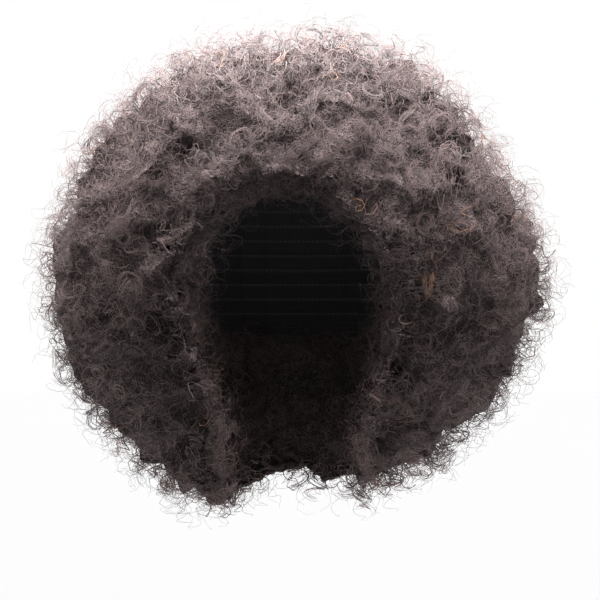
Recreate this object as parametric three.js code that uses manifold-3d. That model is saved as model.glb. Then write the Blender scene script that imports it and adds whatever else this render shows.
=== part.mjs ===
// An afro wig: a stretch cap bound with an edge band, and a ball of tightly curled hair sewn to it in six sections.
// Millimetres, +Z up. The face looks along -Y, and the wearer's left is +X.
// The origin is where the crown of the head meets the inside of the cap.

import * as THREE from "three";
import { mergeVertices } from "three/addons/utils/BufferGeometryUtils.js";
import Module from "manifold-3d";

const wasm = await Module();
wasm.setup();

// The head that the cap fits
const headHalfWidth = 76;
const foreheadReach = 92;
const backReach = 98;
const domeHeight = 96;
const headHeight = 222;
const headRoundness = 2.3;
const headSides = 28;
const headRings = 20;
const rimSides = 44;

// The cap and the band that binds its edge
const capWall = 1.5;
const bandWall = 2.4;
const bandHeight = 9;
const foreheadDrop = 22;
const earTabDrop = 112;
const overEarDrop = 92;
const napeDrop = 156;

// The ball of hair, measured from its middle
const ballDrop = 95;
const ballSetBack = 10;
const topReach = 193;
const leftReach = 208;
const rightReach = 205;
const frontReach = 146;
const rearReach = 190;
const ballRoundness = 2.15;

// The locks that give the ball its lumps
const lockCount = 220;
const lockRadius = 25;
const lockStand = 12;
const lockUnevenness = 5;
const lockWander = 20;
const ballSplitCount = 15;

// The opening for the face and neck, and the locks round its edge. A temple's fall is the share of the cheek's
// drop down to which its hair closes in on the forehead. The fringe's lift is how much the opening widens
// upwards for each step that it widens sideways.
const fringeHang = 16;
const cheekCover = 10;
const neckCover = 3;
const leftTempleFall = 0.84;
const rightTempleFall = 0.64;
const openingLean = 20;
const fringeLift = 0.3;
const edgeLockCount = 24;
const edgeLockRadius = 17;
const edgeLockStand = 6;
const edgeLockAspect = 1.2;

// The partings between the sections of hair
const crownHalfAngle = 43;
const frontHalfAngle = 42;
const rearHalfAngle = 50;
const templeDrop = 76;
const rearPartDrop = 128;

// The gap between neighbouring pieces
const gap = 0.3;

// Shares of the head's half width, forehead reach and back reach, at shares of its height below the crown
const headRows = [
  { drop: 0.43, side: 1.0, front: 1.0, back: 1.0 },
  { drop: 0.58, side: 0.99, front: 1.0, back: 0.96 },
  { drop: 0.72, side: 0.9, front: 0.97, back: 0.8 },
  { drop: 0.86, side: 0.78, front: 0.9, back: 0.69 },
  { drop: 1.0, side: 0.66, front: 0.8, back: 0.63 },
  { drop: 1.2, side: 0.64, front: 0.6, back: 0.62 },
  { drop: 1.4, side: 0.78, front: 0.6, back: 0.66 },
];

// Drops of the cap's edge below the crown, at turns round the head from the middle of the forehead
const rimRows = [
  { turn: 0, drop: foreheadDrop },
  { turn: 34, drop: foreheadDrop + 0.26 * (earTabDrop - foreheadDrop) },
  { turn: 62, drop: earTabDrop },
  { turn: 84, drop: overEarDrop },
  { turn: 112, drop: overEarDrop + 0.3 * (napeDrop - overEarDrop) },
  { turn: 142, drop: overEarDrop + 0.9 * (napeDrop - overEarDrop) },
  { turn: 180, drop: napeDrop },
];

// Heights and widths of the opening that frames the face
const faceRows = {
  arch: { drop: foreheadDrop + fringeHang },
  cheek: { drop: 0.56 * headHeight, halfWidth: headHalfWidth - cheekCover },
  jaw: { drop: 0.92 * headHeight, halfWidth: 0.64 * headHalfWidth - neckCover },
};

// Shares of the ball's four reaches at angles above its middle
const ballRows = [
  { angle: -90, left: 0.9, right: 0.97, front: 1.3, rear: 1.0 },
  { angle: -75, left: 0.91, right: 1.0, front: 1.18, rear: 1.02 },
  { angle: -60, left: 0.95, right: 1.02, front: 1.04, rear: 1.0 },
  { angle: -45, left: 0.96, right: 1.01, front: 0.97, rear: 0.99 },
  { angle: -30, left: 0.98, right: 1.01, front: 0.95, rear: 1.0 },
  { angle: -15, left: 1.0, right: 1.01, front: 0.96, rear: 1.0 },
  { angle: 0, left: 1.0, right: 1.0, front: 1.0, rear: 1.0 },
  { angle: 15, left: 0.97, right: 0.98, front: 1.07, rear: 0.99 },
  { angle: 30, left: 0.94, right: 0.95, front: 1.15, rear: 0.97 },
  { angle: 45, left: 0.93, right: 0.96, front: 1.22, rear: 0.97 },
  { angle: 60, left: 0.96, right: 0.95, front: 1.27, rear: 0.98 },
];

// The point behind the forehead and between the ears from which the hair is measured
const middle = new THREE.Vector3(0, ballSetBack, -ballDrop);
const reachOfCuts = 2.5 * Math.max(topReach, leftReach, rightReach, rearReach);
const belowHair = ballDrop + 1.15 * Math.max(leftReach, rightReach, rearReach);

// The value of one column of a table at a place between its rows
function between(rows, key, column, at) {
  const next = rows.findIndex((row) => row[key] > at);
  if (next < 0) return rows[rows.length - 1][column];
  if (next === 0) return rows[0][column];
  const low = rows[next - 1];
  const high = rows[next];
  const share = THREE.MathUtils.smoothstep(at, low[key], high[key]);
  return low[column] + (high[column] - low[column]) * share;
}

// The reach of a rounded oval in a direction of the plan, from its reaches to each side
function ovalReach(x, y, toSide, toEnd, roundness) {
  const sum = (Math.abs(x) / toSide) ** roundness + (Math.abs(y) / toEnd) ** roundness;
  return sum ** (-1 / roundness);
}

function solidOf(geometry) {
  const bare = geometry.clone();
  bare.deleteAttribute("normal");
  bare.deleteAttribute("uv");
  const merged = mergeVertices(bare, 1e-4);
  const vertProperties = new Float32Array(merged.attributes.position.array);
  const triVerts = new Uint32Array(merged.index.array);
  return new wasm.Manifold(new wasm.Mesh({ numProp: 3, vertProperties, triVerts }));
}

function geometryOf(solid) {
  const mesh = solid.getMesh();
  const geometry = new THREE.BufferGeometry();
  geometry.setAttribute("position", new THREE.BufferAttribute(mesh.vertProperties, 3));
  geometry.setIndex(new THREE.BufferAttribute(mesh.triVerts, 1));
  geometry.computeVertexNormals();
  return geometry;
}

// A solid made by moving each point of a geometry to where place puts it
function reshaped(geometry, place) {
  const position = geometry.attributes.position;
  const point = new THREE.Vector3();
  for (let i = 0; i < position.count; i++) {
    place(point.fromBufferAttribute(position, i));
    position.setXYZ(i, point.x, point.y, point.z);
  }
  return solidOf(geometry);
}

// The head and neck, grown by a margin: a sphere with its upper half as the dome and its lower rings as the neck
function head(margin) {
  const lowest = headRows[headRows.length - 1].drop;
  const domeShare = domeHeight / headHeight;
  const sphere = new THREE.SphereGeometry(1, headSides, headRings).rotateX(Math.PI / 2);
  return reshaped(sphere, (p) => {
    const flat = Math.hypot(p.x, p.y);
    const lean = Math.atan2(flat, p.z);
    const inDome = lean < Math.PI / 2;
    const ring = Math.round((lean / Math.PI) * headRings);
    const belowDome = Math.max(0, ring / headRings - 0.5) / (0.5 - 1 / headRings);
    const share = domeShare + (lowest - domeShare) * Math.min(1, belowDome);
    const side = headHalfWidth * between(headRows, "drop", "side", share) + margin;
    const front = foreheadReach * between(headRows, "drop", "front", share) + margin;
    const back = backReach * between(headRows, "drop", "back", share) + margin;
    const domeTop = (domeHeight + margin) * Math.max(0, Math.cos(lean)) ** (2 / headRoundness);
    const domeReach = inDome ? Math.sin(lean) ** (2 / headRoundness) : 1;
    const neckDrop = share < lowest ? headHeight * share : belowHair;
    const z = inDome ? domeTop - domeHeight : -neckDrop;
    if (flat < 1e-6) {
      p.set(0, 0, z);
      return;
    }
    const reach = ovalReach(p.x, p.y, side, p.y < 0 ? front : back, headRoundness) * domeReach;
    p.set(p.x * reach, p.y * reach, z);
  });
}

// All that lies above the cap's edge, or above a line that runs the given lift over it
function aboveRim(lift) {
  const beyondHead = 1.1;
  const meanDrop = (foreheadDrop + napeDrop) / 2;
  const drum = new THREE.CylinderGeometry(1, 1, 2, rimSides).rotateX(Math.PI / 2);
  return reshaped(drum, (p) => {
    const top = p.z > 0 ? domeHeight : -meanDrop;
    if (Math.hypot(p.x, p.y) < 0.5) {
      p.set(0, 0, top);
      return;
    }
    const turn = THREE.MathUtils.radToDeg(Math.atan2(Math.abs(p.x), -p.y));
    const drop = between(rimRows, "turn", "drop", turn) - lift;
    const toEnd = p.y < 0 ? foreheadReach : backReach;
    const reach = beyondHead * ovalReach(p.x, p.y, headHalfWidth, toEnd, headRoundness);
    const edge = -meanDrop - beyondHead * (drop - meanDrop);
    p.set(p.x * reach, p.y * reach, p.z > 0 ? domeHeight : edge);
  });
}

// The reach of the hair from its middle in a direction
function hairReach(direction) {
  const flat = Math.hypot(direction.x, direction.y);
  const angle = THREE.MathUtils.radToDeg(Math.asin(THREE.MathUtils.clamp(direction.z, -1, 1)));
  const upper = THREE.MathUtils.smoothstep(angle, 60, 90);
  const side = direction.x > 0 ? "left" : "right";
  const end = direction.y < 0 ? "front" : "rear";
  const full = { left: leftReach, right: rightReach, front: frontReach, rear: rearReach };
  const toSide = full[side] * between(ballRows, "angle", side, angle);
  const toEnd = full[end] * between(ballRows, "angle", end, angle);
  if (flat < 1e-6) return angle > 0 ? topReach : (toSide + toEnd) / 2;
  const oval = ovalReach(direction.x / flat, direction.y / flat, toSide, toEnd, ballRoundness);
  return oval + (topReach - oval) * upper;
}

// The middles of the locks that cover the ball: even steps along a spiral, each put a little out of line
function lockMiddles() {
  const goldenTurn = Math.PI * (3 - Math.sqrt(5));
  return Array.from({ length: lockCount }, (_, i) => {
    const z = 1 - (2 * i + 1) / lockCount;
    const flat = Math.sqrt(1 - z * z);
    const wander = (lockWander * Math.sin(5 * i * i)) / (flat * rearReach);
    const turn = i * goldenTurn + wander;
    const direction = new THREE.Vector3(flat * Math.cos(turn), flat * Math.sin(turn), z);
    const shortfall = (lockUnevenness * (1 + Math.sin(i * i))) / 2;
    return direction.multiplyScalar(hairReach(direction) - lockRadius - shortfall);
  });
}

// How far out the round lock about a point covers a direction, or nothing if it doesn't
function lockReach(lock, direction) {
  const along = lock.dot(direction);
  const squared = along * along - lock.lengthSq() + lockRadius * lockRadius;
  return squared > 0 ? along + Math.sqrt(squared) : 0;
}

// The ball with its locks fused to it: each point is drawn out to the lock that covers it
function hairBall() {
  const locks = lockMiddles();
  const ball = new THREE.IcosahedronGeometry(1, ballSplitCount);
  return reshaped(ball, (p) => {
    const direction = p.clone().normalize();
    const backing = hairReach(direction) - lockStand;
    const reach = locks.reduce((most, lock) => Math.max(most, lockReach(lock, direction)), backing);
    p.copy(direction).multiplyScalar(reach).add(middle);
  });
}

// A rounded lock of hair that stands out along a direction, with its tip at a point
function lockAt(tip, direction, radius) {
  const upward = new THREE.Vector3(0, 0, 1);
  const lock = new THREE.IcosahedronGeometry(radius, 1)
    .scale(1, 1, edgeLockAspect)
    .translate(0, 0, -radius * edgeLockAspect)
    .applyQuaternion(new THREE.Quaternion().setFromUnitVectors(upward, direction))
    .translate(tip.x, tip.y, tip.z);
  return solidOf(lock);
}

// The arch that frames the face, from one side of the neck over the forehead to the other
function faceArch() {
  const { arch, cheek, jaw } = faceRows;
  const chinDrop = (cheek.drop + jaw.drop) / 2;
  const leftBrowDrop = leftTempleFall * cheek.drop;
  const rightBrowDrop = rightTempleFall * cheek.drop;
  const leftCrest = (1 - leftTempleFall) * cheek.halfWidth;
  const rightCrest = (1 - rightTempleFall) * cheek.halfWidth;
  const line = new THREE.Path();
  line.moveTo(jaw.halfWidth, -belowHair);
  line.lineTo(jaw.halfWidth, -jaw.drop);
  line.quadraticCurveTo(cheek.halfWidth, -chinDrop, cheek.halfWidth, -cheek.drop);
  line.bezierCurveTo(cheek.halfWidth, -leftBrowDrop, leftCrest, -arch.drop, 0, -arch.drop);
  line.bezierCurveTo(-rightCrest, -arch.drop, -cheek.halfWidth, -rightBrowDrop, -cheek.halfWidth, -cheek.drop);
  line.quadraticCurveTo(-cheek.halfWidth, -chinDrop, -jaw.halfWidth, -jaw.drop);
  line.lineTo(-jaw.halfWidth, -belowHair);
  return line;
}

// How many times wider the opening is than the arch, at a distance in front of the ears
function flareAt(forward) {
  const beyondFace = Math.max(0, forward - foreheadReach);
  return 1 + (beyondFace * Math.tan(THREE.MathUtils.degToRad(openingLean))) / faceRows.cheek.halfWidth;
}

// A point of the arch, moved out as the opening widens
function widened(x, z, growth) {
  const { cheek } = faceRows;
  const rise = 1 + (growth - 1) * fringeLift;
  return { x: x * growth, z: (z + cheek.drop) * rise - cheek.drop };
}

// The space for the face and neck: straight back to the ears, and wider towards the front
function faceOpening() {
  const { cheek } = faceRows;
  const outline = new THREE.Shape(faceArch().getPoints(9));
  const rings = [0, foreheadReach, 2 * Math.max(frontReach, foreheadReach)];
  const tunnel = new THREE.ExtrudeGeometry(outline, { depth: 2, steps: 2, bevelEnabled: false });
  return reshaped(tunnel, (p) => {
    const forward = rings[Math.round(p.z)];
    const { x, z } = widened(p.x, p.y, flareAt(forward) * (1 + edgeLockStand / cheek.halfWidth));
    p.set(x, -forward, z);
  });
}

// Small locks round the edge of the opening, whose tips lie on the arch
function edgeLocks() {
  const cheekMiddle = new THREE.Vector2(0, -faceRows.cheek.drop);
  const places = faceArch().getSpacedPoints(edgeLockCount);
  const locks = places.map((place, i) => {
    const inward = cheekMiddle.clone().sub(place).normalize();
    const forward = foreheadReach + (i % 2) * edgeLockRadius;
    const { x, z } = widened(place.x, place.y, flareAt(forward));
    const direction = new THREE.Vector3(inward.x, 0, inward.y);
    return lockAt(new THREE.Vector3(x, -forward, z), direction, edgeLockRadius);
  });
  return wasm.Manifold.union(locks);
}

// A cone that opens upwards from the middle of the hair
function crownCone(growth) {
  const slope = THREE.MathUtils.degToRad(crownHalfAngle);
  const cone = new THREE.CylinderGeometry(reachOfCuts * Math.tan(slope), 0, reachOfCuts, 48)
    .rotateX(Math.PI / 2)
    .translate(middle.x, middle.y, middle.z + reachOfCuts / 2 - growth / Math.sin(slope));
  return solidOf(cone);
}

// A wedge of the plan that points along +Y or -Y, from one height up to another
function wedge(towards, halfAngle, lowZ, highZ, growth) {
  const half = THREE.MathUtils.degToRad(halfAngle);
  const tipY = middle.y - (towards * growth) / Math.sin(half);
  const farY = tipY + towards * reachOfCuts;
  const farX = reachOfCuts * Math.tan(half);
  const plan = new THREE.Shape([
    new THREE.Vector2(0, tipY),
    new THREE.Vector2(towards * farX, farY),
    new THREE.Vector2(-towards * farX, farY),
  ]);
  const depth = highZ - lowZ + 2 * growth;
  const block = new THREE.ExtrudeGeometry(plan, { depth, bevelEnabled: false });
  return solidOf(block.translate(0, 0, lowZ - growth));
}

// All that lies to one side of the middle plane
function halfSpace(side, growth) {
  const block = new THREE.BoxGeometry(reachOfCuts, 2 * reachOfCuts, 2 * reachOfCuts);
  return solidOf(block.translate(side * (reachOfCuts / 2 - growth), 0, 0));
}

function largestBody(solid) {
  return solid.decompose().sort((a, b) => b.volume() - a.volume())[0];
}

// Parts the hair from the crown down. Each section takes what is left in its region, less a gap.
function partedHair(hair) {
  const regions = {
    crown_hair: (growth) => crownCone(growth),
    front_hair: (growth) => wedge(-1, frontHalfAngle, -templeDrop, reachOfCuts, growth),
    back_hair: (growth) => wedge(1, rearHalfAngle, -rearPartDrop, reachOfCuts, growth),
    nape_hair: (growth) => wedge(1, rearHalfAngle, -reachOfCuts, -rearPartDrop, growth),
    left_side_hair: (growth) => halfSpace(1, growth),
    right_side_hair: (growth) => halfSpace(-1, growth),
  };
  const sections = {};
  let left = hair;
  for (const [name, region] of Object.entries(regions)) {
    sections[name] = largestBody(left.intersect(region(0)));
    left = left.subtract(region(gap));
  }
  return sections;
}

const hairColour = new THREE.MeshStandardMaterial({ color: 0x2b2224, roughness: 0.62, metalness: 0 });
const netColour = new THREE.MeshStandardMaterial({ color: 0x17151a, roughness: 0.85, metalness: 0 });
const bandColour = new THREE.MeshStandardMaterial({ color: 0x1c191c, roughness: 0.7, metalness: 0 });

const wig = new THREE.Group();

function add(name, solid, material) {
  const mesh = new THREE.Mesh(geometryOf(solid), material);
  mesh.name = name;
  wig.add(mesh);
}

const inside = head(0);
const overBand = aboveRim(bandHeight);
add("wig_cap", head(capWall).subtract(inside).intersect(aboveRim(bandHeight + gap)), netColour);
add("edge_band", head(bandWall).subtract(inside).intersect(aboveRim(0)).subtract(overBand), bandColour);

const ball = hairBall();
const framed = ball.subtract(faceOpening()).add(edgeLocks().intersect(ball));
const roomForBand = head(bandWall + gap).subtract(aboveRim(bandHeight + 2 * gap));
const hair = largestBody(framed.subtract(head(capWall + gap)).subtract(roomForBand));
for (const [name, solid] of Object.entries(partedHair(hair))) add(name, solid, hairColour);

export default wig;
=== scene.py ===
# %% [markdown]
# # An afro wig, from its frame to its finish
#
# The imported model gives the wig's cap, its edge band and six plain solids of hair, all at their
# real size. This lesson keeps the cap and the band, and turns each solid of hair into five
# pieces: a dark backing and four kinds of fine curls. Everything is in metres, with +Z up and the
# front along -Y.

# %% Load the frame
import math

import bmesh
import bpy
import numpy as np
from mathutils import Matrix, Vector, noise
from mathutils.bvhtree import BVHTree
from mathutils.kdtree import KDTree


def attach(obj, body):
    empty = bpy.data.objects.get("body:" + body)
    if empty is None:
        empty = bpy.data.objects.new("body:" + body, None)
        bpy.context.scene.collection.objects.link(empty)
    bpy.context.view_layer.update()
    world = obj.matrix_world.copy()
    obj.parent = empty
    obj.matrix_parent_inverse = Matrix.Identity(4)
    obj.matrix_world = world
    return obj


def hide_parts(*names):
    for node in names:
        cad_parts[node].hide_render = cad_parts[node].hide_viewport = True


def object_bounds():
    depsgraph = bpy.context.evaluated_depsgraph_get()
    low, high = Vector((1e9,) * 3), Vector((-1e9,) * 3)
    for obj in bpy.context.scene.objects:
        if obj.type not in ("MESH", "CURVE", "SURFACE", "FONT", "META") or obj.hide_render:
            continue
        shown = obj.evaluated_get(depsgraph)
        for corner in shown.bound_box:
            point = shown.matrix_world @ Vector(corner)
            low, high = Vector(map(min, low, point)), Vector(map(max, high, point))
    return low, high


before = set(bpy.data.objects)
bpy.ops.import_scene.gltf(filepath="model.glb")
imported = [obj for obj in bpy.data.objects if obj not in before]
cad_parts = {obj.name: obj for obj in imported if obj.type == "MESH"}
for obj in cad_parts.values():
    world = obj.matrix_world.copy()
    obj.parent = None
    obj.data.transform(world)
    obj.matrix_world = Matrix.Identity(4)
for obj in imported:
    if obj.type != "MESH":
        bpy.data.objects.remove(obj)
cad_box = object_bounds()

MM = 0.001
HAIR_NODES = [name for name in sorted(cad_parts) if name.endswith("_hair")]
print("hair solids:", ", ".join(HAIR_NODES))

# %% [markdown]
# ## The camera
#
# The picture is taken from straight in front, level with the opening, with a long lens. A long
# lens keeps the ball of hair round: a short one close by would swell its front. The frame is
# square, and 474 mm of it crosses the wig at its widest.

# %% Place the camera
SENSOR_WIDTH = 36
VIEW_WIDTH = 474 * MM
VIEW_DISTANCE = 1600 * MM
VIEW_MIDDLE = Vector((5.5, 10, -118)) * MM

camera_data = bpy.data.cameras.new("camera")
camera_data.sensor_width = SENSOR_WIDTH
camera_data.lens = SENSOR_WIDTH * VIEW_DISTANCE / VIEW_WIDTH
camera = bpy.data.objects.new("camera", camera_data)
camera.location = VIEW_MIDDLE + Vector((0, -VIEW_DISTANCE, 0))
camera.rotation_euler = (math.radians(90), 0, 0)
bpy.context.scene.collection.objects.link(camera)
bpy.context.scene.camera = camera
print("lens", round(camera_data.lens), "mm")

# %% [markdown]
# ## A small language for materials
#
# Shader nodes are easier to read as sums than as boxes and noodles. `Wire` wraps a socket, and
# its operators add Math nodes, so `1 - mask` builds a graph. Every other node comes from
# `Graph.node`, which takes the node's type, then its settings, then its inputs. A graph belongs
# to a material or to the world, and `finish` closes a material with one Principled shader.


# %% Wires and graphs
class Wire:
    def __init__(self, graph, socket):
        self.graph = graph
        self.socket = socket

    def math(self, operation, other=None, swap=False):
        pair = [self] if other is None else [self, other]
        inputs = dict(enumerate(pair[::-1] if swap else pair))
        return self.graph.node("ShaderNodeMath", {"operation": operation}, inputs)

    def __add__(self, other):
        return self.math("ADD", other)

    def __sub__(self, other):
        return self.math("SUBTRACT", other)

    def __rsub__(self, other):
        return self.math("SUBTRACT", other, swap=True)

    def __mul__(self, other):
        return self.math("MULTIPLY", other)

    __radd__ = __add__
    __rmul__ = __mul__


class Graph:
    def __init__(self, owner):
        owner.use_nodes = True
        owner.node_tree.nodes.clear()
        self.owner = owner
        self.tree = owner.node_tree

    def node(self, kind, settings=None, inputs=None, output=0):
        made = self.tree.nodes.new(kind)
        for name, value in (settings or {}).items():
            if name == "stops":
                self.set_stops(made.color_ramp, value)
            else:
                setattr(made, name, value)
        for name, value in (inputs or {}).items():
            if isinstance(value, Wire):
                self.tree.links.new(value.socket, made.inputs[name])
            else:
                made.inputs[name].default_value = value
        return Wire(self, made.outputs[output]) if made.outputs else made

    def set_stops(self, ramp, stops):
        while len(ramp.elements) < len(stops):
            ramp.elements.new(0.5)
        for element, (place, colour) in zip(ramp.elements, stops):
            element.position = place
            element.color = (*colour, 1)

    def finish(self, **inputs):
        named = {name.replace("_", " "): value for name, value in inputs.items()}
        shader = self.node("ShaderNodeBsdfPrincipled", inputs=named)
        self.node("ShaderNodeOutputMaterial", inputs={"Surface": shader})
        return self.owner


def axis_of(graph, vector, axis):
    return graph.node("ShaderNodeSeparateXYZ", inputs={"Vector": vector}, output=axis)


def ramp(graph, stops, share):
    return graph.node("ShaderNodeValToRGB", {"stops": stops}, {"Fac": share})


def bump(graph, height, strength, depth):
    inputs = {"Height": height, "Strength": strength, "Distance": depth}
    return graph.node("ShaderNodeBump", inputs=inputs)


# %% [markdown]
# ## The curls' finish
#
# The hair is a very dark brown, and no two strands are quite alike: most are nearly black, some
# are greyer, and a few are auburn or gold. Each strand carries a UV map in which U runs from its
# root to its tip and V is its own tone, so one ramp colours them all. A separate material for
# each tone would work too, but it would split every section into many pieces. A second ramp along
# U paints light and shade over that tone: the roots are darkened as painted shade deep in the
# hair, and the tips are painted paler and warmer as painted light shining through them where they
# are thin.

# %% Make the material of the curls
TONES = [
    (0.0, (0.034, 0.0265, 0.027)),
    (0.35, (0.051, 0.0395, 0.04)),
    (0.7, (0.074, 0.0575, 0.0575)),
    (0.93, (0.1, 0.079, 0.078)),
    (0.965, (0.13, 0.075, 0.045)),
    (1.0, (0.19, 0.115, 0.065)),
]
# Painted shade at the roots and painted light at the tips, multiplied into each strand's tone.
ROOT_SHADE_TIP_LIGHT = [(0.0, (0.4, 0.4, 0.4)), (0.35, (0.88, 0.88, 0.88)), (1.0, (1.4, 1.24, 1.2))]


def make_curl_finish():
    graph = Graph(bpy.data.materials.new("hair_curls"))
    uv = graph.node("ShaderNodeUVMap", {"uv_map": "OFBake"})
    along, tone = axis_of(graph, uv, 0), axis_of(graph, uv, 1)
    colour, root_shade_tip_light = ramp(graph, TONES, tone), ramp(graph, ROOT_SHADE_TIP_LIGHT, along)
    settings = {"data_type": "RGBA", "blend_type": "MULTIPLY"}
    shade = graph.node("ShaderNodeMix", settings, {"Factor": 1.0, 6: colour, 7: root_shade_tip_light}, output=2)
    sheen = dict(Sheen_Weight=0.05, Sheen_Roughness=0.4, Sheen_Tint=(1.0, 0.82, 0.8, 1))
    return graph.finish(Base_Color=shade, Roughness=0.45, Specular_IOR_Level=0.06, **sheen)


curl_finish = make_curl_finish()
print("made", curl_finish.name)

# %% [markdown]
# ## The backing's finish
#
# Between the curls one looks into deeper hair, which lies in shade, so the backing is painted dark
# as painted shade. A pattern of rings about scattered points, bent by noise, reads as curls lying
# behind curls. A plain noise would read as felt. Three layers of rings of different sizes raise
# the surface a little, and their crests are painted paler as a painted highlight, with painted
# shade in the troughs between them.

# %% Make the material of the backing
RING_LAYERS = [(0.0, 14 * MM, 2.3 * MM), (0.31, 10 * MM, 1.9 * MM), (0.83, 8 * MM, 1.6 * MM)]
RING_DEPTH = 1.5 * MM
RING_GAIN = 1.3
BEND_SCALE = 1.1
BEND_STRENGTH = 1.6
PATCH_SCALE = 120.0
# Painted shade: the backing is dark for the shade deep in the hair, and the pale end of the ramp
# is the painted highlight on the ring crests.
BACKING_SHADE_STOPS = [
    (0.0, (0.021, 0.0164, 0.0168)),
    (0.35, (0.037, 0.0288, 0.0292)),
    (0.85, (0.088, 0.0685, 0.0685)),
]


def ring_lines(graph, place, shift, cell, spacing):
    offset = (shift, shift * 2, shift * 3)
    moved = graph.node("ShaderNodeVectorMath", {"operation": "ADD"}, {0: place, 1: offset})
    detail = {"Vector": moved, "Scale": BEND_SCALE / cell, "Detail": 2.0}
    bend = graph.node("ShaderNodeTexNoise", inputs=detail, output=1)
    scaled = {0: bend, "Scale": cell * BEND_STRENGTH}
    pull = graph.node("ShaderNodeVectorMath", {"operation": "SCALE"}, scaled)
    bent = graph.node("ShaderNodeVectorMath", {"operation": "ADD"}, {0: moved, 1: pull})
    distance = graph.node("ShaderNodeTexVoronoi", inputs={"Vector": bent, "Scale": 1 / cell})
    wave = (distance * (cell / spacing * 2 * math.pi)).math("SINE") * 0.5 + 0.5
    return wave * wave


def make_backing_finish():
    graph = Graph(bpy.data.materials.new("hair_backing"))
    place = graph.node("ShaderNodeTexCoord", output=3)
    lines = [ring_lines(graph, place, *layer) for layer in RING_LAYERS]
    ring_crests = lines[0].math("MAXIMUM", lines[1]).math("MAXIMUM", lines[2])
    cloud = {"Vector": place, "Scale": PATCH_SCALE, "Detail": 4.0}
    patches = graph.node("ShaderNodeTexNoise", inputs=cloud)
    # Paler on the ring crests and darker in the troughs: painted highlight and painted shade.
    colour = ramp(graph, BACKING_SHADE_STOPS, ring_crests * patches * RING_GAIN)
    relief = bump(graph, ring_crests, 0.8, RING_DEPTH)
    return graph.finish(Base_Color=colour, Roughness=0.9, Normal=relief, Specular_IOR_Level=0.0)


backing_finish = make_backing_finish()
print("made", backing_finish.name)

# %% [markdown]
# ## The cap's net and the band's elastic
#
# The cap is a soft black net, and the hair is sewn to it in rows of stitching about 12 mm apart.
# Both show only from inside. Rows follow the height, and the net and the stitches run round it,
# so the angle about the upright axis is turned into millimetres first. The band is ribbed
# elastic.

# %% Make the net and the elastic
CAP_RADIUS = 80 * MM
ROW_SPACING = 12 * MM
NET_SPACING = 2.4 * MM
STITCH_SPACING = 3.2 * MM
RIB_SPACING = 1.6 * MM
WEFT_SPACING = 1.1 * MM
ROW_SHARPNESS = 12.0
NET_STOPS = [(0.0, (0.01, 0.01, 0.011)), (0.6, (0.032, 0.031, 0.034)), (1.0, (0.075, 0.068, 0.07))]
ELASTIC_STOPS = [(0.0, (0.008, 0.008, 0.009)), (1.0, (0.03, 0.028, 0.03))]


def round_the_cap(graph):
    place = graph.node("ShaderNodeTexCoord", output=3)
    x, y, z = [axis_of(graph, place, axis) for axis in range(3)]
    return x.math("ARCTAN2", y) * CAP_RADIUS, z


def ripple(value, spacing):
    return (value * (2 * math.pi / spacing)).math("SINE") * 0.5 + 0.5


def make_net_finish():
    graph = Graph(bpy.data.materials.new("cap_net"))
    around, height = round_the_cap(graph)
    rising = ripple(around + height, NET_SPACING)
    falling = ripple(around - height, NET_SPACING)
    threads = rising.math("MAXIMUM", falling)
    net = threads * threads * threads
    row = ripple(height, ROW_SPACING).math("POWER", ROW_SHARPNESS)
    stitch = ripple(around, STITCH_SPACING) * row
    colour = ramp(graph, NET_STOPS, net * 0.5 + row * 0.2 + stitch * 0.3)
    relief = bump(graph, net * 0.3 + row + stitch * 0.5, 0.7, 0.6 * MM)
    return graph.finish(Base_Color=colour, Roughness=0.8, Normal=relief, Specular_IOR_Level=0.2)


def make_elastic_finish():
    graph = Graph(bpy.data.materials.new("band_elastic"))
    around, height = round_the_cap(graph)
    ribs = ripple(around, RIB_SPACING) * 0.7 + ripple(height, WEFT_SPACING) * 0.3
    colour, relief = ramp(graph, ELASTIC_STOPS, ribs), bump(graph, ribs, 0.5, 0.4 * MM)
    return graph.finish(Base_Color=colour, Roughness=0.7, Normal=relief, Specular_IOR_Level=0.2)


def dress(node, finish):
    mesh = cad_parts[node].data
    mesh.materials.clear()
    mesh.materials.append(finish)
    print(node, "wears", finish.name)


dress("wig_cap", make_net_finish())
dress("edge_band", make_elastic_finish())

# %% [markdown]
# ## Which faces are open to the air
#
# A solid of hair has faces against the cap and against its neighbours, and those need no curls. A
# ray from each face, straight out along its normal, finds them: if it meets something within 2.5
# mm, the face is covered. The answer is kept in a layer of the mesh, which survives when faces
# are divided.

# %% Sort the faces
COVERED_WITHIN = 2.5 * MM
MERGED_WITHIN = 0.01 * MM
ALL_AXES = dict(use_axis_x=True, use_axis_y=True, use_axis_z=True)


def tree_of(names):
    points, faces = [], []
    for name in names:
        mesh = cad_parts[name].data
        start = len(points)
        points.extend(v.co for v in mesh.vertices)
        faces.extend([start + i for i in p.vertices] for p in mesh.polygons)
    return BVHTree.FromPolygons(points, faces)


everything = tree_of(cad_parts)
cap_and_band = tree_of(["wig_cap", "edge_band"])


def merged_copy(node):
    shape = bmesh.new()
    shape.from_mesh(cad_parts[node].data)
    bmesh.ops.remove_doubles(shape, verts=shape.verts, dist=MERGED_WITHIN)
    shape.normal_update()
    return shape


def relax(shape, layer, times):
    free = [v for v in shape.verts if all(face[layer] for face in v.link_faces)]
    for _ in range(times):
        bmesh.ops.smooth_vert(shape, verts=free, factor=0.5, **ALL_AXES)
    shape.normal_update()


def is_open(face):
    start = face.calc_center_median() + face.normal * 0.05 * MM
    return everything.ray_cast(start, face.normal, COVERED_WITHIN)[0] is None


def mark_open(shape):
    layer = shape.faces.layers.int.new("open")
    for face in shape.faces:
        face[layer] = is_open(face)
    return layer


def open_verts(shape, layer):
    return [v for v in shape.verts if any(face[layer] for face in v.link_faces)]


print("a face is covered if something lies within", COVERED_WITHIN / MM, "mm of it")

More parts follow.
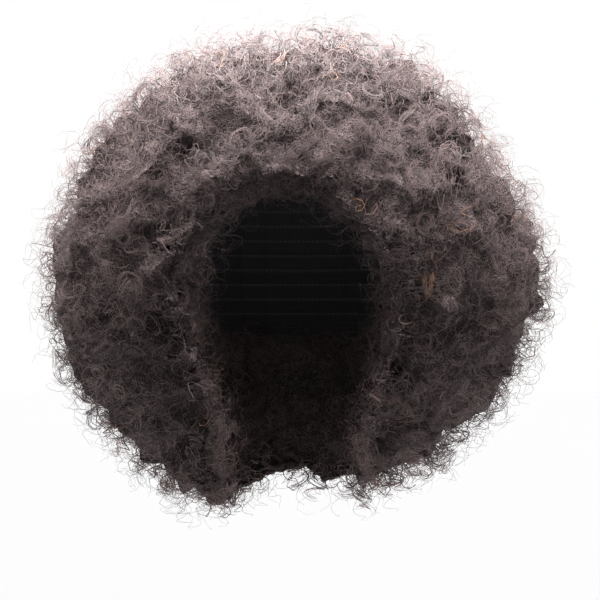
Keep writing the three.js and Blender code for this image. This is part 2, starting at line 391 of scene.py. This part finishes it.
# %% [markdown]
# ## Where the hair hangs
#
# On top and at the sides the curls hold one another up, and the hair stands straight out. Lower
# down nothing holds them, so they droop. This is one number: nothing down to a height of -190 mm,
# then more and more over the next 60 mm.

# %% Say where the hair hangs
HANG_BELOW = -190 * MM
HANG_RANGE = 60 * MM


def hang_share(height):
    return np.clip((HANG_BELOW - height) / HANG_RANGE, 0, 1)


print("share that hangs at -220 mm:", hang_share(-220 * MM))


# %% [markdown]
# ## Which way is out
#
# The six solids of hair meet in seams, and on each side of a seam a corner's normal is its own.
# Moved along those, the two edges would part and let light through. So a corner first asks all
# the open skin within 9 mm, whichever solid it belongs to, and moves the way that they agree on.
# The same walk over the solids notes where the skin has a sharp edge.

# %% Agree which way is out
BLEND_REACH = 9 * MM
OWN_SAY = 0.01
CORNER_ANGLE = math.radians(52)


def outward(vert, layer):
    total = Vector()
    for face in vert.link_faces:
        if face[layer]:
            total += face.normal * face.calc_area()
    return total.normalized()


def is_sharp(edge, layer):
    in_air = all(face[layer] for face in edge.link_faces)
    return in_air and edge.calc_face_angle(0) > CORNER_ANGLE


def gather_skin():
    normals, sharp = [], []
    for node in HAIR_NODES:
        shape = merged_copy(node)
        layer = mark_open(shape)
        normals += [(v.co.copy(), outward(v, layer)) for v in open_verts(shape, layer)]
        for edge in shape.edges:
            if is_sharp(edge, layer):
                start, end = (v.co for v in edge.verts)
                sharp += [start.lerp(end, share) for share in (0, 0.5, 1)]
        shape.free()
    return normals, sharp


def tree_of_points(points):
    tree = KDTree(len(points))
    for number, point in enumerate(points):
        tree.insert(point, number)
    tree.balance()
    return tree


skin_normals, sharp_points = gather_skin()
skin_tree = tree_of_points([place for place, _ in skin_normals])
sharp_tree = tree_of_points(sharp_points)
print(len(skin_normals), "corners of open skin,", len(sharp_points), "points on sharp edges")


def agreed_out(place, own):
    total = own * OWN_SAY
    for _, number, gap in skin_tree.find_range(place, BLEND_REACH):
        total += skin_normals[number][1] * (1 - gap / BLEND_REACH)
    return total.normalized()


# %% [markdown]
# ## The edge of the opening
#
# The solids are built by cutting, so the opening at the front has a crisp edge. Real hair turns
# round it softly. A bevel would follow the mesh and fail where it is uneven. Here each corner of
# the skin sinks by up to 10 mm, most at the sharp edge and less over the next 26 mm. Beside the
# cap and where the hair hangs, nothing sinks, so the band stays covered and the thin lower lip
# stays whole.

# %% Round the edges of the opening
ROUNDING = 10 * MM
ROUND_REACH = 26 * MM
CAP_MARGIN = (6 * MM, 28 * MM)


def away_from_cap(place):
    gap = cap_and_band.find_nearest(place, 2 * CAP_MARGIN[1])[3]
    if gap is None:
        return 1.0
    share = (gap - CAP_MARGIN[0]) / (CAP_MARGIN[1] - CAP_MARGIN[0])
    return min(1.0, max(0.0, share))


def rounding_at(place):
    gap = sharp_tree.find(place)[2]
    share = away_from_cap(place) * (1 - float(hang_share(place.z)))
    return ROUNDING * max(0.0, 1 - gap / ROUND_REACH) ** 2 * share


def round_off(shape, layer):
    skin = open_verts(shape, layer)
    moves = [(v, agreed_out(v.co, outward(v, layer)) * rounding_at(v.co)) for v in skin]
    for vert, step in moves:
        vert.co -= step
    shape.normal_update()


print("a sharp edge sinks by up to", round(ROUNDING / MM), "mm")

# %% [markdown]
# ## The skin that the curls grow from
#
# Curls are scattered over triangles, so the open faces of each solid are copied into arrays:
# three corners a face, and the direction outward at each corner. The copy is rounded and relaxed
# first, so the curls don't show the facets of the solid.

# %% Copy the open skin of each solid
skins = {}


def open_skin(node):
    shape = merged_copy(node)
    layer = mark_open(shape)
    round_off(shape, layer)
    relax(shape, layer, 2)
    corners, normals = [], []
    for face in shape.faces:
        if face[layer]:
            corners.append([tuple(v.co) for v in face.verts])
            normals.append([tuple(outward(v, layer)) for v in face.verts])
    shape.free()
    return np.array(corners), np.array(normals)


def triangle_areas(corners):
    sides = np.cross(corners[:, 1] - corners[:, 0], corners[:, 2] - corners[:, 0])
    return np.linalg.norm(sides, axis=1) / 2


for node in HAIR_NODES:
    skins[node] = open_skin(node)
    area = triangle_areas(skins[node][0]).sum()
    print(node, len(skins[node][0]), "open faces", round(area * 1e4), "square cm")

# %% [markdown]
# ## Tufts
#
# Afro hair isn't even: it gathers in soft tufts at least 27 mm apart, with darker gaps between
# them. A tuft here is one point on the skin. Whatever grows near it stands higher and leans away
# from it, like water in a fountain. The points are thrown like darts, and one that lands too near
# another is dropped. Each tuft has its own fullness.
#
# `scatter` throws points evenly by area. Beside the cap it throws up to 2.6 times as many,
# because at the hairline short curls lie close together.

# %% Scatter points over the skin
SEED = 1970
HAIRLINE_GAIN = 1.6
random = np.random.default_rng(SEED)


def unit(vectors):
    return vectors / np.maximum(np.linalg.norm(vectors, axis=-1, keepdims=True), 1e-9)


def hairline_share(corners):
    near = [1 - away_from_cap(Vector(middle)) for middle in corners.mean(axis=1)]
    return 1 + HAIRLINE_GAIN * np.array(near)


def scatter(skin, count):
    corners, normals = skin
    sums = np.cumsum(triangle_areas(corners) * hairline_share(corners))
    steps = (np.arange(count) + random.random(count)) / count * sums[-1]
    chosen = np.minimum(np.searchsorted(sums, steps), len(sums) - 1)
    a, b = np.sort(random.random((2, count)), axis=0)
    weights = np.stack([a, b - a, 1 - b], axis=1)[:, :, None]
    places = (corners[chosen] * weights).sum(axis=1)
    return places, unit((normals[chosen] * weights).sum(axis=1))


print("the seed of every draw is", SEED)

# %% Throw the tufts
TUFT_SPACING = 27 * MM
TUFT_RADIUS = 0.72 * TUFT_SPACING
TUFT_DARTS = 5000
LEAST_FULLNESS = 0.35


def throw_tufts():
    whole = tuple(np.concatenate([skins[node][i] for node in HAIR_NODES]) for i in (0, 1))
    darts = random.permutation(scatter(whole, TUFT_DARTS)[0])
    kept = darts[:1]
    for dart in darts[1:]:
        if np.linalg.norm(kept - dart, axis=1).min() > TUFT_SPACING:
            kept = np.vstack([kept, dart])
    return kept


tufts = throw_tufts()
tuft_tree = tree_of_points(tufts)
tuft_fullness = LEAST_FULLNESS + (1 - LEAST_FULLNESS) * random.random(len(tufts))
print(len(tufts), "tufts")


def tuft_height(place):
    number, gap = tuft_tree.find(place)[1:]
    return tuft_fullness[number] * max(0.0, 1 - (gap / TUFT_RADIUS) ** 2)


# %% [markdown]
# ## The backing
#
# Between the curls of a real wig one sees more hair, too dense to look through. The backing
# stands for it: a closed copy of each solid, painted dark as painted shade, whose open faces are
# divided and pulled in. It lies 6.5 mm deep under a full tuft and 14.5 mm deep between tufts, or
# up to 6 mm more where the hair hangs, with an uneven grain, so its outline is broken too. Where
# the hair is thin it sinks less, or the outer skin would come out at the inner one. Beside the cap
# it doesn't sink at all. Covered faces stay where they are, so no light shows between sections.

# %% Settle how deep the backing lies
LEAST_INSET = 6.5 * MM
MOST_INSET = 14.5 * MM
HANG_INSET = 6 * MM
THICKEST = 60 * MM
INSET_LIMIT = 0.3
GRAIN_LIMIT = 0.12
PROBE_START = 3
COARSE_LUMPS, FINE_LUMPS, GRAIN = (9, 2.5), (4, 2), (5, 3)


def tree_of_faces(faces):
    corners = np.arange(3 * len(faces)).reshape(-1, 3)
    return BVHTree.FromPolygons(faces.reshape(-1, 3).tolist(), corners.tolist())


open_air = tree_of_faces(np.concatenate([skins[node][0] for node in HAIR_NODES]))


def thickness(place, out):
    facing, gap = open_air.ray_cast(place - out * PROBE_START * MM, -out, THICKEST)[1::2]
    return gap if gap is not None and facing.dot(out) < 0 else THICKEST


def lumps(place, size, height):
    return noise.noise(place / (size * MM)) * height * MM


def inset_at(place, out):
    most = MOST_INSET + HANG_INSET * float(hang_share(place.z))
    depth = most + (LEAST_INSET - most) * tuft_height(place)
    depth += lumps(place, *COARSE_LUMPS) + lumps(place, *FINE_LUMPS)
    return min(depth, INSET_LIMIT * thickness(place, out)) * away_from_cap(place)


def grain_at(place, out):
    limit = GRAIN_LIMIT * thickness(place, out)
    return min(limit, max(-limit, lumps(place, *GRAIN))) * away_from_cap(place)


deepest = MOST_INSET + HANG_INSET
print("the backing lies at most", round(deepest / MM, 1), "mm deep, before its grain")


# %% Make the backings
DIVISIONS = 2


def into_scene(mesh, material):
    mesh.materials.append(material)
    piece = bpy.data.objects.new(mesh.name, mesh)
    bpy.context.scene.collection.objects.link(piece)
    return piece


def finish_mesh(shape, name, material):
    mesh = bpy.data.meshes.new(name)
    shape.to_mesh(mesh)
    shape.free()
    return into_scene(mesh, material)


def hair_piece(piece, node):
    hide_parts(node)
    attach(piece, "root")
    return piece


def make_backing(node):
    shape = merged_copy(node)
    layer = mark_open(shape)
    edges = {edge for face in shape.faces if face[layer] for edge in face.edges}
    bmesh.ops.subdivide_edges(shape, edges=list(edges), cuts=DIVISIONS, use_grid_fill=True)
    bmesh.ops.triangulate(shape, faces=shape.faces)
    shape.normal_update()
    round_off(shape, layer)
    moves = [(v, agreed_out(v.co, outward(v, layer))) for v in open_verts(shape, layer)]
    for vert, out in moves:
        vert.co -= out * inset_at(vert.co, out)
    relax(shape, layer, 1)
    for vert, out in moves:
        vert.co += out * grain_at(vert.co, out)
    for face in shape.faces:
        face.smooth = bool(face[layer])
    return hair_piece(finish_mesh(shape, node + "_backing", backing_finish), node)


for node in HAIR_NODES:
    backing = make_backing(node)
    print(backing.name, len(backing.data.polygons), "triangles")

# %% [markdown]
# ## A strand as a tube
#
# A strand is a thin closed tube with three sides, drawn along a path of points. All the tubes of
# one section are worked out together in arrays, and become one joined mesh: making thousands of
# separate objects would be slow here, and slower in the library. The spokes say which way is out
# at each point of a path, and keep the tube from twisting.

# %% Turn paths into one mesh
SIDES = 3


def tube_points(paths, spokes, widths):
    ahead = unit(np.gradient(paths, axis=1))
    across = unit(spokes - ahead * (spokes * ahead).sum(axis=-1, keepdims=True))
    upward = np.cross(ahead, across)
    angles = np.arange(SIDES)[:, None] * 2 * np.pi / SIDES
    ring = across[:, :, None] * np.cos(angles) + upward[:, :, None] * np.sin(angles)
    return paths[:, :, None] + ring * (widths / 2)[:, :, None, None]


def tube_faces(count, rings):
    index = np.arange(count * rings * SIDES).reshape(count, rings, SIDES)
    turned = np.roll(index, -1, axis=2)
    sides = np.stack([index[:, :-1], turned[:, :-1], turned[:, 1:], index[:, 1:]], axis=-1)
    ends = np.stack([index[:, 0, ::-1], index[:, -1]], axis=1)
    corners = np.concatenate([sides.ravel(), ends.ravel()])
    return corners, np.repeat([4, 3], [sides.size // 4, ends.size // 3])


def tube_triangles(rings):
    return (rings - 1) * SIDES * 2 + 2


print("a strand of 12 points has", tube_triangles(12), "triangles")

# %% [markdown]
# Each face needs a little area of its own in the UV map, or the library's copy of the finish
# would have nothing to read. So every face is given a sliver of the tone's width.


# %% Lay out the strands in the UV map
SLIVER = 0.01
TONE_SPAN = 0.96


def strand_uv(corners, lengths, rings, tones):
    strand, rest = np.divmod(corners, rings * SIDES)
    u = rest // SIDES / (rings - 1)
    v = SLIVER + TONE_SPAN * tones[strand]
    quads = 4 * (lengths == 4).sum()
    ends = (len(v) - quads) // 3
    v[:quads] += np.tile([0.0, SLIVER, SLIVER, 0.0], quads // 4)
    v[quads:] += np.tile([0.0, SLIVER, 2 * SLIVER], ends)
    u[quads:] = np.abs(u[quads:] - np.tile([0.0, 0.0, SLIVER], ends))
    return np.stack([u, v], axis=1)


print("tones lie between", SLIVER, "and", round(SLIVER + TONE_SPAN, 2))

# %% [markdown]
# A real hair is about 0.1 mm thick, and many of them share each spot of a picture, so their light
# sides and dark sides even out. These strands are thicker, to fill the ball with fewer of them,
# and would look wiry. So each strand's normals are turned most of the way towards the direction
# outward at its root: light then falls over the hair as it falls over the ball, while the shadows
# between strands stay real. The shapes and the way that the faces point don't change.

# %% Soften the shading of the strands
BORROWED = 0.7


def soften(mesh, points, outs):
    own = unit(points - points.mean(axis=2, keepdims=True))
    mixed = unit(own * (1 - BORROWED) + outs[:, None, None] * BORROWED)
    mesh.normals_split_custom_set_from_vertices(mixed.reshape(-1, 3))


print(round(100 * BORROWED), "percent of each normal is borrowed")

# %% [markdown]
# A mesh of Blender stores its corners, its faces and its UV map in flat lists, and `foreach_set`
# fills one of them from an array in a single step. That is what makes a hundred thousand faces
# quick.

# %% Join the tubes
def tube_mesh(name, paths, spokes, widths, tones, outs):
    count, rings = paths.shape[:2]
    points = tube_points(paths, spokes, widths)
    corners, lengths = tube_faces(count, rings)
    mesh = bpy.data.meshes.new(name)
    mesh.vertices.add(count * rings * SIDES)
    mesh.vertices.foreach_set("co", points.astype(np.float32).ravel())
    mesh.loops.add(len(corners))
    mesh.loops.foreach_set("vertex_index", corners.astype(np.int32))
    mesh.polygons.add(len(lengths))
    mesh.polygons.foreach_set("loop_start", (np.cumsum(lengths) - lengths).astype(np.int32))
    mesh.update(calc_edges=True)
    mesh.polygons.foreach_set("use_smooth", np.ones(len(lengths), bool))
    layer = mesh.uv_layers.new(name="OFBake")
    uv = strand_uv(corners, lengths, rings, tones)
    layer.data.foreach_set("uv", uv.astype(np.float32).ravel())
    soften(mesh, points, outs)
    return mesh


# %% [markdown]
# ## Curls
#
# Each strand follows a coil: an axis that leans out of the wig, a radius, and a number of turns.
# The wig has four kinds of them, from the inside out, and each kind's range of tones is darker the
# deeper it lies: painted shade deep in the hair. Within a range the tone differs at random.
#
# - locks: thick single curls in and just over the backing, which break its smooth surface
# - ringlets: six finer strands that share one coil and lie side by side, the round curls one sees
# - frizz: single fine strands among and over the ringlets
# - wisps: the finest strands, which stand furthest out and blur the outline
#
# Blender's own hair curves would be quicker to make, but the library keeps meshes only. Lengths,
# heights and widths are in millimetres, and angles in degrees.

# %% The kinds of curl
# The tone ranges run from dark in the locks to pale in the wisps: painted shade deeper in the
# hair.
KINDS = {
    "locks": dict(
        share=0.22, points=11, ring_crests=1, tilt=(20, 90), height=(-9, 5), length=(6, 13),
        radius=(3.4, 7), turns=(1.0, 1.6), width=(0.75, 1.25), spread=0, tone=(0, 0.5),
    ),
    "ringlets": dict(
        share=0.44, points=13, ring_crests=6, tilt=(0, 80), height=(-4, 6), length=(5, 13),
        radius=(4.5, 9), turns=(1.0, 1.7), width=(0.4, 0.62), spread=1.2, tone=(0.1, 0.75),
    ),
    "frizz": dict(
        share=0.2, points=12, ring_crests=1, tilt=(0, 90), height=(-1, 11), length=(8, 18),
        radius=(3.6, 8.5), turns=(0.9, 1.5), width=(0.3, 0.44), spread=0, tone=(0.2, 0.85),
    ),
    "wisps": dict(
        share=0.14, points=11, ring_crests=1, tilt=(0, 80), height=(3, 18), length=(8, 18),
        radius=(4.5, 9), turns=(0.7, 1.4), width=(0.24, 0.34), spread=0, tone=(0.45, 0.93),
    ),
}
GOLD_SHARE, GOLD_TONE = 0.004, 1.0
AUBURN_SHARE, AUBURN_TONE = 0.02, 0.965
PALEST_TONE = 0.93
TUFT_DEPTH = 8 * MM
HANG_DEPTH = 6 * MM
TOP_LIFT = 4 * MM
HANG_DROP = 10 * MM
HANG_PULL = 0.7
HANG_LENGTH = 0.3
HANG_TURNS = 0.2
LEAN_JITTER = 0.35
NEARLY_UPRIGHT = 0.8

cad_corners = np.array([tuple(corner) for corner in cad_box])
cad_middle = cad_corners.mean(axis=0)
cad_sides = cad_corners[1] - cad_corners[0]


def ranged(limits, count):
    return (limits[0] + (limits[1] - limits[0]) * random.random(count))[:, None]


def across_pair(axis):
    upright = np.abs(axis[:, 2:3]) >= NEARLY_UPRIGHT
    helper = np.where(upright, [[1.0, 0.0, 0.0]], [[0.0, 0.0, 1.0]])
    first = unit(np.cross(axis, helper))
    return first, np.cross(axis, first)


def lean_of(places, out):
    centres = np.array([tuft_tree.find(place)[0] for place in places])
    away = (places - centres) / TUFT_SPACING + random.normal(0, LEAN_JITTER, places.shape)
    return unit(away - out * (away * out).sum(axis=1, keepdims=True))


print("the solids take up", np.round(cad_sides / MM), "mm")

# %% [markdown]
# A coil is a row of numbers, not a shape yet: where it starts, its axis, length, radius, turns
# and tone. The tilt leans the axis away from the middle of the tuft. All the coils of one kind
# are worked out at once, one array for each number. Gold and auburn are given to a whole coil, so
# a coloured curl reads as one curl, as it does on the wig.


# %% Lay out the coils
def coils(skin, kind, groups):
    places, out = scatter(skin, groups)
    tilt = np.radians(ranged(kind["tilt"], groups))
    hang = hang_share(places[:, 2:3])
    lean = lean_of(places, out)
    axis = unit(out * np.cos(tilt) + lean * np.sin(tilt) + hang * [[0.0, 0.0, -HANG_PULL]])
    heights = np.array([tuft_height(place) for place in places])[:, None]
    lift = np.clip(out[:, 2:3], 0, 1) * TOP_LIFT
    lift = lift + (heights - 1) * (TUFT_DEPTH + hang * HANG_DEPTH)
    places = places + out * (ranged(kind["height"], groups) * MM + lift)
    places = places - hang * ranged((0, 1), groups) ** 2 * [[0.0, 0.0, HANG_DROP]]
    length = ranged(kind["length"], groups) * MM * (1 + HANG_LENGTH * hang)
    radius = ranged(kind["radius"], groups) * MM
    turns = ranged(kind["turns"], groups) * (1 + HANG_TURNS * hang)
    turns = turns * random.choice([-1, 1], (groups, 1))
    phase = ranged((0, 2 * np.pi), groups)
    tone = ranged(kind["tone"], groups)
    dye = random.random((groups, 1))
    tone = np.where(dye < GOLD_SHARE + AUBURN_SHARE, AUBURN_TONE, tone)
    tone = np.where(dye < GOLD_SHARE, GOLD_TONE, tone)
    waves = random.random((groups, 4))
    bow = unit(random.normal(0, 1, (groups, 3)))
    return places, out, axis, length, radius, turns, phase, tone, waves, bow


# %% [markdown]
# The strands of one coil differ by about a tenth, so they part and meet like real hairs in a
# curl. `t` runs from 0 at the root to 1 at the tip. Slow waves make each turn a little uneven,
# the whole curl bows to one side, and its root dives 8 mm into the backing, so no strand starts
# in the air.


# %% Draw the strands
WAVE_SPEEDS = (3, 9)
SHARED_WANDER, OWN_WANDER = 0.6, 0.2
SWELL = 0.3
BOW, BOW_SWEEP = 3.5 * MM, 2.6
ROOT_DIVE = 8 * MM
ROOT_RADIUS, OPENING, TIP_CLOSING = 0.25, 4, 0.2
ROOT_SIDE = 0.4
THINNING, THINNING_CURVE = 0.65, 1.6
VARY = dict(length=(0.88, 1.12), radius=(0.9, 1.1), turns=(0.95, 1.05), phase=(-0.25, 0.25))
TONE_JITTER = 0.08
FREE_SHARE, FREE_REACH = 0.03, 9 * MM
free_room = cad_sides * FREE_SHARE + FREE_REACH


def wave(t, draws):
    slow, fast = WAVE_SPEEDS
    return np.sin(t * (slow + (fast - slow) * draws[:, :1]) + 6 * draws[:, 1:])


def strands(skin, kind, count):
    made = coils(skin, kind, max(1, count // kind["ring_crests"]))
    made = [np.repeat(value, kind["ring_crests"], axis=0) for value in made]
    places, out, axis, length, radius, turns, phase, tone, waves, bow = made
    n = len(places)
    places = places + random.normal(0, 1, (n, 3)) * kind["spread"] * MM
    length, radius = length * ranged(VARY["length"], n), radius * ranged(VARY["radius"], n)
    turns, phase = turns * ranged(VARY["turns"], n), phase + ranged(VARY["phase"], n)
    t = np.linspace(0, 1, kind["points"])[None, :]
    wander = SHARED_WANDER * wave(t, waves[:, :2]) + OWN_WANDER * wave(t, random.random((n, 2)))
    angle = (phase + turns * 2 * np.pi * t + wander)[:, :, None]
    first, second = across_pair(axis)
    spokes = first[:, None] * np.cos(angle) + second[:, None] * np.sin(angle)
    swell = 1 + SWELL * wave(t, waves[:, 2:])
    grow = np.minimum(1, ROOT_RADIUS + t * OPENING) * (1 - TIP_CLOSING * t) * swell
    dive = ((1 - t) ** 4 * ROOT_DIVE)[:, :, None]
    arch = (np.sin(t * BOW_SWEEP) * BOW)[:, :, None] * bow[:, None]
    paths = places[:, None] + axis[:, None] * ((t - ROOT_SIDE) * length)[:, :, None] + arch
    paths = paths + spokes * (grow * radius)[:, :, None] - out[:, None] * dive
    widths = ranged(kind["width"], n) * MM * (1 - THINNING * t**THINNING_CURVE)
    kept = within_reach(paths)
    return [value[kept] for value in (paths, spokes, widths, strand_tones(tone[:, 0]), out)]


def within_reach(paths):
    reach = free_room + cad_sides / 2
    return (np.abs(paths - cad_middle) < reach).all(axis=(1, 2))


def strand_tones(tones):
    mixed = np.clip(tones + random.normal(0, TONE_JITTER, len(tones)), 0, PALEST_TONE)
    return np.where(tones < AUBURN_TONE, mixed, tones)


print("strands may pass the solids by", np.round(free_room / MM, 1), "mm")

# %% [markdown]
# `within_reach` drops the few strands that would stand out past the size of the wig. What is left
# is shared out by area: each section gets its part of one budget of triangles, and each kind of
# curl its part of that. A budget keeps the whole wig under a million triangles however the sizes
# change.

# %% Grow the curls
CURL_BUDGET = 880_000
total_area = sum(triangle_areas(skins[node][0]).sum() for node in HAIR_NODES)


def make_curls(node, name):
    kind = KINDS[name]
    triangles = tube_triangles(kind["points"])
    share = kind["share"] * triangle_areas(skins[node][0]).sum() / total_area
    made = strands(skins[node], kind, int(CURL_BUDGET * share / triangles))
    piece = into_scene(tube_mesh(f"{node}_{name}", *made), curl_finish)
    print(piece.name, len(made[0]), "strands", len(made[0]) * triangles, "triangles")
    return hair_piece(piece, node)


for node in HAIR_NODES:
    for name in KINDS:
        make_curls(node, name)

# %% [markdown]
# ## Studio
#
# The wig stands over a wide pale floor, in front of white.

# %% Make the floor
FLOOR_HEIGHT = -550 * MM
FLOOR_RADIUS = 8.0
FLOOR_SIDES = 96


def make_floor():
    shape = bmesh.new()
    bmesh.ops.create_circle(shape, cap_ends=True, segments=FLOOR_SIDES, radius=FLOOR_RADIUS)
    bmesh.ops.translate(shape, verts=shape.verts, vec=(0, 0, FLOOR_HEIGHT))
    graph = Graph(bpy.data.materials.new("pale_floor"))
    pale = graph.finish(Base_Color=(0.86, 0.86, 0.87, 1), Roughness=0.9)
    floor = finish_mesh(shape, "floor", pale)
    return floor


floor = make_floor()
print("floor", round(floor.dimensions.x, 2), "m across")

# %% [markdown]
# The light is soft and comes mostly from above and behind, so the top of the hair turns pale and
# the hair beside the opening stays dark. The world does the soft part: dim in front, brighter
# behind. What the camera sees of it is a plain white of 1.0, because anything brighter is cut off
# to white only after the fine hairs before it have been mixed in, and they would vanish.

# %% Light the air
FRONT_GLOW = 0.14
SIDE_GLOW = 0.76
BACK_GLOW = 1.25

world = bpy.data.worlds.new("studio")
sky = Graph(world)
towards = sky.node("ShaderNodeTexCoord", output=0)
behind = axis_of(sky, towards, 1)
glows = [(0.0, FRONT_GLOW), (0.5, SIDE_GLOW), (0.95, BACK_GLOW)]
greys = [(place, (strength / BACK_GLOW,) * 3) for place, strength in glows]
glow = ramp(sky, greys, behind * 0.5 + 0.5)
shine = sky.node("ShaderNodeBackground", inputs={"Color": glow, "Strength": BACK_GLOW})
paper = sky.node("ShaderNodeBackground", inputs={"Color": (1, 1, 1, 1), "Strength": 1.0})
straight = sky.node("ShaderNodeLightPath", output=0)
seen = sky.node("ShaderNodeMixShader", inputs={0: straight, 1: shine, 2: paper})
sky.node("ShaderNodeOutputWorld", inputs={"Surface": seen})
bpy.context.scene.world = world
bpy.context.scene.view_settings.view_transform = "Standard"
print("the air glows from", FRONT_GLOW, "in front to", BACK_GLOW, "behind")


# %% [markdown]
# Five disk lamps do the rest: a wide one overhead, a weak one behind each side for the outline,
# and two that shine up through the table, as a translucent shooting table lets them. A lamp
# strong enough to make dark hair pale would burn out the floor, and a photographer keeps it off
# with a flag, a black card beside it. Here light linking does both: a lamp reaches the wig alone,
# and only the wig stands in its way. A sun that reaches the floor alone keeps it as pale as the
# white behind it.

# %% Set the lamps
LAMPS = {
    "overhead": ((0.0, 0.05, 1.5), 2.6, 600, (1.0, 0.98, 0.97)),
    "rim_left": ((1.3, 0.9, 0.0), 1.0, 10, (1.0, 0.97, 0.96)),
    "rim_right": ((-1.3, 0.9, 0.0), 1.0, 20, (1.0, 0.97, 0.96)),
    "table_left": ((0.9, 0.25, -1.1), 1.0, 24, (1.0, 0.95, 0.94)),
    "table_right": ((-0.9, 0.25, -1.1), 1.0, 24, (1.0, 0.95, 0.94)),
}
FLOOR_LIGHT = 1.2
FLOOR_LIGHT_SPREAD = math.radians(120)


def link_light(name, data, reached):
    lamp = bpy.data.objects.new(name, data)
    bpy.context.scene.collection.objects.link(lamp)
    lit = bpy.data.collections.new(name + "_reaches")
    for thing in reached:
        lit.objects.link(thing)
    lamp.light_linking.receiver_collection = lit
    print("lamp", name, data.energy, "reaches", len(reached), "pieces")
    return lamp


def make_lamp(name, place, size, power, tint):
    data = bpy.data.lights.new(name, "AREA")
    data.color = tint
    data.shape = "DISK"
    data.size = size
    data.energy = power
    wig = [thing for thing in bpy.data.objects if thing.type == "MESH" and thing is not floor]
    lamp = link_light(name, data, wig)
    lamp.location = place
    lamp.rotation_euler = (VIEW_MIDDLE - Vector(place)).to_track_quat("-Z", "Y").to_euler()
    lamp.light_linking.blocker_collection = lamp.light_linking.receiver_collection


for name, settings in LAMPS.items():
    make_lamp(name, *settings)

sun = bpy.data.lights.new("floor_light", "SUN")
sun.energy = FLOOR_LIGHT
sun.angle = FLOOR_LIGHT_SPREAD
link_light("floor_light", sun, [floor])
